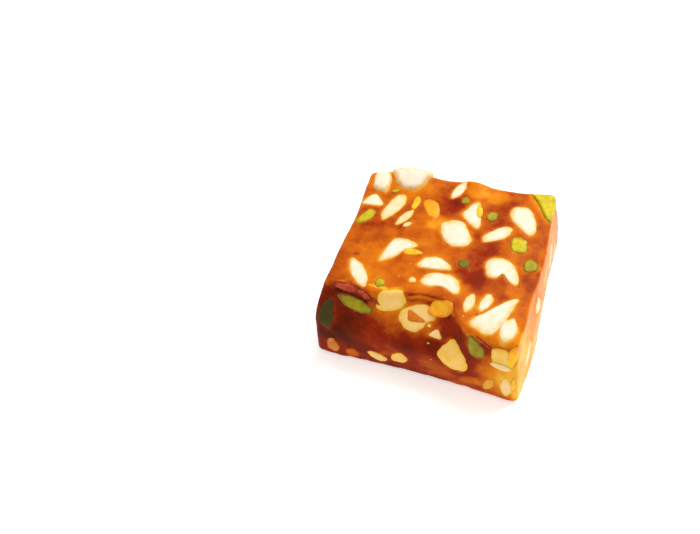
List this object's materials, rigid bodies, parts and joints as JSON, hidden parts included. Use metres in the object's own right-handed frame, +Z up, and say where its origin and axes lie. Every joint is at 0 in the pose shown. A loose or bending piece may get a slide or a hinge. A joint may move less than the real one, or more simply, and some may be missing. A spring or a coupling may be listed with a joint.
{
  "type": "dry fruit halwa",
  "caption": "Square cut block of set translucent orange-brown starch halwa, with pieces of cashew and pistachio cut flush in its faces and its top front edge worn back.",
  "frame": {"origin": "middle of the underside, on the surface the block rests on", "axes": "+Z up out of the top, +X along the front edge to the right, -Y out of the front, the side whose top edge is worn back"},
  "size_m": [0.0554, 0.055, 0.025],
  "materials": {
    "halwa_jelly": "set starch jelly, translucent orange to dark brown, glossy and slightly tacky",
    "cashew_flesh": "cut cashew, cream white, smooth with a slight oily sheen",
    "pistachio_flesh": "cut pistachio, yellow-green, smooth with a slight sheen",
    "pistachio_skin": "dry dark red pistachio skin, wrinkled"
  },
  "bodies": {
    "root": {"halwa_block": "halwa_jelly", "cashew_top_back_corner": "cashew_flesh", "cashew_top_back_edge": "cashew_flesh", "cashew_top_left_wedge": "cashew_flesh", "pistachio_top_left": "pistachio_flesh", "cashew_top_left_long": "cashew_flesh", "cashew_top_left_narrow": "cashew_flesh", "cashew_top_back_middle": "cashew_flesh", "pistachio_top_back_small": "pistachio_flesh", "cashew_top_leaning": "cashew_flesh", "pistachio_top_middle": "pistachio_flesh", "cashew_top_large": "cashew_flesh", "cashew_top_slanted": "cashew_flesh", "cashew_top_right_large": "cashew_flesh", "pistachio_corner": "pistachio_flesh", "pistachio_top_right": "pistachio_flesh", "pistachio_top_right_edge": "pistachio_flesh", "cashew_top_kidney": "cashew_flesh", "pistachio_top_dark": "pistachio_flesh", "cashew_top_half": "cashew_flesh", "cashew_top_arch": "cashew_flesh", "cashew_top_sliver": "cashew_flesh", "cashew_top_rhombus": "cashew_flesh", "pistachio_top_front": "pistachio_flesh", "cashew_top_upright": "cashew_flesh", "cashew_top_near_wedge": "cashew_flesh", "cashew_top_near_large": "cashew_flesh", "cashew_top_near_corner": "cashew_flesh", "pistachio_front_corner": "pistachio_flesh", "pistachio_front_left": "pistachio_flesh", "skin_front_left": "pistachio_skin", "cashew_front_left": "cashew_flesh", "cashew_front_hook": "cashew_flesh", "cashew_front_chip": "cashew_flesh", "cashew_front_large": "cashew_flesh", "pistachio_front_right": "pistachio_flesh", "cashew_front_right": "cashew_flesh", "cashew_front_low_corner": "cashew_flesh", "cashew_front_low_right": "cashew_flesh", "cashew_front_foot_left": "cashew_flesh", "cashew_front_foot_middle": "cashew_flesh", "cashew_front_foot_right": "cashew_flesh", "cashew_right_near": "cashew_flesh", "cashew_right_middle": "cashew_flesh", "pistachio_right": "pistachio_flesh", "cashew_right_far": "cashew_flesh", "cashew_back_left": "cashew_flesh", "pistachio_back": "pistachio_flesh", "cashew_back_middle": "cashew_flesh", "cashew_back_right": "cashew_flesh", "cashew_left_far": "cashew_flesh", "pistachio_left": "pistachio_flesh", "cashew_left_middle": "cashew_flesh", "cashew_left_near": "cashew_flesh", "cashew_under_left": "cashew_flesh", "cashew_under_right": "cashew_flesh", "pistachio_under": "pistachio_flesh"}
  },
  "joints": []
}
